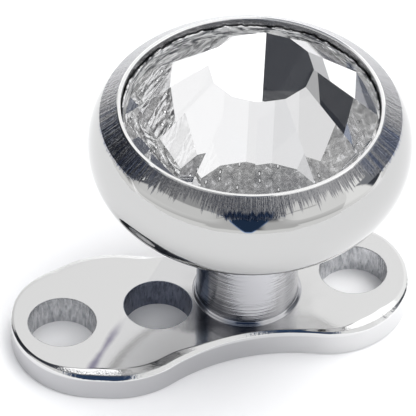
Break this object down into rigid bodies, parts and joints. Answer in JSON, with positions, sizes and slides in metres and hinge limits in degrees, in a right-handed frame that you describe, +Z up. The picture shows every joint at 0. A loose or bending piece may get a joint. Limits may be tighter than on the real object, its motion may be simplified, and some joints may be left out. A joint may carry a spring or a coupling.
{
  "type": "dermal anchor with gem top",
  "caption": "Dermal anchor: flat pierced foot with a round post, and a rounded button setting that holds a faceted clear stone.",
  "frame": {"origin": "on the post's axis, at the underside of the foot", "axes": "+Z up along the post to the stone; the foot lies along X, its long end with two holes towards -X and its short end towards +X"},
  "size_m": [0.0064, 0.005, 0.0052],
  "materials": {
    "anchor_steel": "mirror-polished surgical steel, satin hole walls and a turned post",
    "stem_steel": "turned surgical steel",
    "setting_steel": "polished surgical steel with a burnished, cross-scratched band round the lip",
    "mirror_foil": "silver mirror foil",
    "stone_cement": "hardened clear jeweller's cement with small bubbles",
    "clear_crystal": "polished, cut clear lead-free glass"
  },
  "bodies": {
    "root": {"anchor": "anchor_steel", "screw_stem": "stem_steel", "bezel_cup": "setting_steel", "foil_back": "mirror_foil", "cement_bed": "stone_cement", "crystal": "clear_crystal"}
  },
  "joints": []
}
